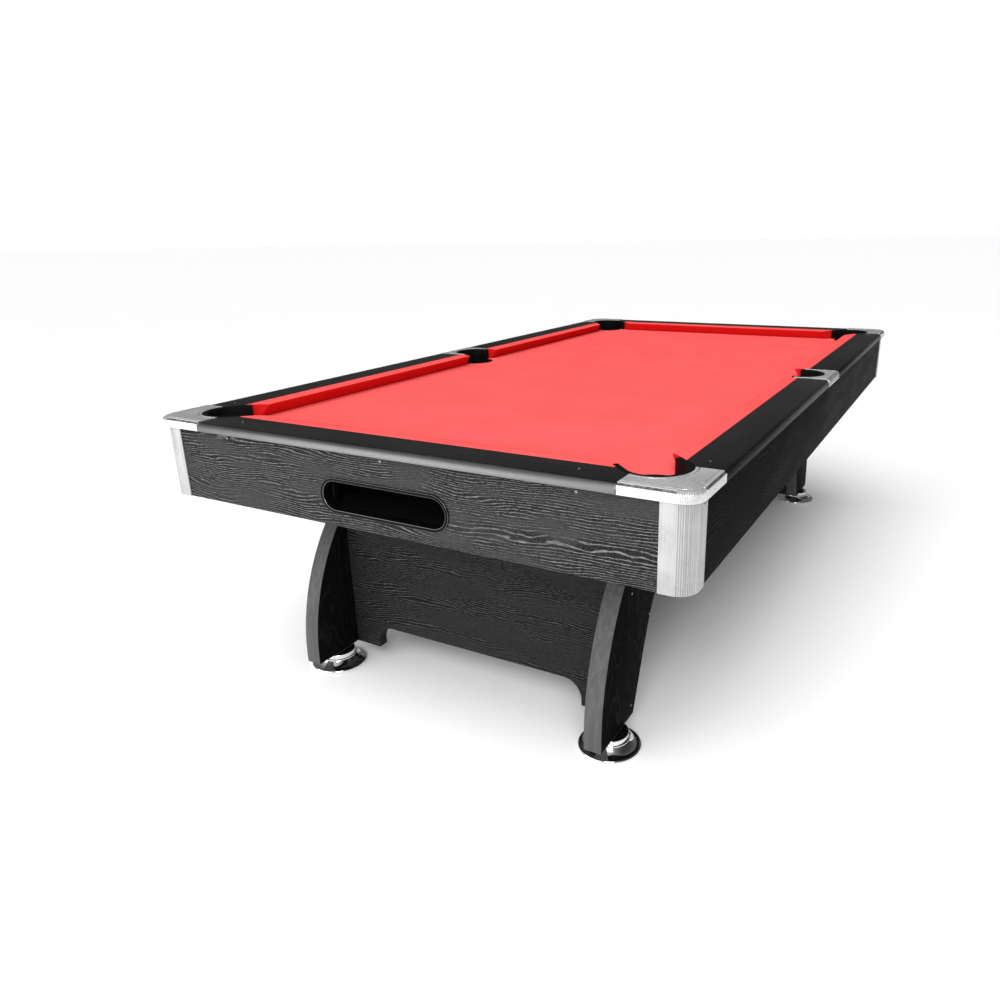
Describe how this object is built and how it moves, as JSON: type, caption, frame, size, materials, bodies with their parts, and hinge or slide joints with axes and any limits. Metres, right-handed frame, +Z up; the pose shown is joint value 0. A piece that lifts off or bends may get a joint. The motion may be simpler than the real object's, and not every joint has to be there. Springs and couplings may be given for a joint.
{
  "type": "pool table",
  "caption": "Free-standing pool table with a ball return, cushioned rails, six pockets, silver corner caps, two swept pedestals and adjustable levelling feet.",
  "frame": {"origin": "the floor under the middle of the table", "axes": "+X across the table to the right as seen from the ball-return end, +Y along the table away from that end, +Z up"},
  "size_m": [1.52, 2.74, 0.81],
  "materials": {
    "rail_laminate": "black textured laminate, matt, rounded edge",
    "grain_laminate": "black laminate embossed with open wood grain, satin",
    "side_laminate": "near-black laminate with a fine texture, matt",
    "leg_laminate": "black laminate faces with charcoal grey edge banding",
    "bed_cloth": "coral red worsted cloth, fine even nap",
    "cushion_cloth": "red worsted cloth over rubber",
    "satin_silver": "satin silver, fluted at the corners",
    "mirror_chrome": "mirror chrome",
    "black_moulding": "moulded black, low sheen",
    "raw_board": "raw medium-density board and timber",
    "zinc_steel": "zinc plated"
  },
  "bodies": {
    "table": {"rail_front": "rail_laminate", "rail_rear": "rail_laminate", "rail_left_front": "rail_laminate", "rail_left_rear": "rail_laminate", "rail_right_front": "rail_laminate", "rail_right_rear": "rail_laminate", "cushion_front": "cushion_cloth", "cushion_rear": "cushion_cloth", "cushion_left_front": "cushion_cloth", "cushion_left_rear": "cushion_cloth", "cushion_right_front": "cushion_cloth", "cushion_right_rear": "cushion_cloth", "corner_cap_front_left": "satin_silver", "corner_post_front_left": "satin_silver", "pocket_liner_front_left": "black_moulding", "leg_front_left": "leg_laminate", "corner_cap_rear_left": "satin_silver", "corner_post_rear_left": "satin_silver", "pocket_liner_rear_left": "black_moulding", "leg_rear_left": "leg_laminate", "side_cap_left": "satin_silver", "pocket_liner_middle_left": "black_moulding", "side_panel_left": "side_laminate", "ball_run_left": "black_moulding", "ball_run_front_left": "black_moulding", "beam_left": "raw_board", "corner_cap_front_right": "satin_silver", "corner_post_front_right": "satin_silver", "pocket_liner_front_right": "black_moulding", "leg_front_right": "leg_laminate", "corner_cap_rear_right": "satin_silver", "corner_post_rear_right": "satin_silver", "pocket_liner_rear_right": "black_moulding", "leg_rear_right": "leg_laminate", "side_cap_right": "satin_silver", "pocket_liner_middle_right": "black_moulding", "side_panel_right": "side_laminate", "ball_run_right": "black_moulding", "ball_run_front_right": "black_moulding", "beam_right": "raw_board", "end_panel_front": "grain_laminate", "leg_panel_front": "grain_laminate", "end_panel_rear": "grain_laminate", "leg_panel_rear": "grain_laminate", "cross_beam_front": "raw_board", "cross_beam_middle": "raw_board", "cross_beam_rear": "raw_board", "bed_board": "raw_board", "bed_cloth": "bed_cloth", "ball_tray": "black_moulding", "ball_slot_bezel": "black_moulding"},
    "foot_front_left_body": {"foot_front_left": "mirror_chrome", "foot_stud_front_left": "zinc_steel"},
    "foot_rear_left_body": {"foot_rear_left": "mirror_chrome", "foot_stud_rear_left": "zinc_steel"},
    "foot_front_right_body": {"foot_front_right": "mirror_chrome", "foot_stud_front_right": "zinc_steel"},
    "foot_rear_right_body": {"foot_rear_right": "mirror_chrome", "foot_stud_rear_right": "zinc_steel"}
  },
  "joints": [
    {"name": "foot_front_left_height", "type": "slide", "parent": "table", "child": "foot_front_left_body", "axis": [0, 0, -1], "range_m": [0, 0.02]},
    {"name": "foot_rear_left_height", "type": "slide", "parent": "table", "child": "foot_rear_left_body", "axis": [0, 0, -1], "range_m": [0, 0.02]},
    {"name": "foot_front_right_height", "type": "slide", "parent": "table", "child": "foot_front_right_body", "axis": [0, 0, -1], "range_m": [0, 0.02]},
    {"name": "foot_rear_right_height", "type": "slide", "parent": "table", "child": "foot_rear_right_body", "axis": [0, 0, -1], "range_m": [0, 0.02]}
  ]
}
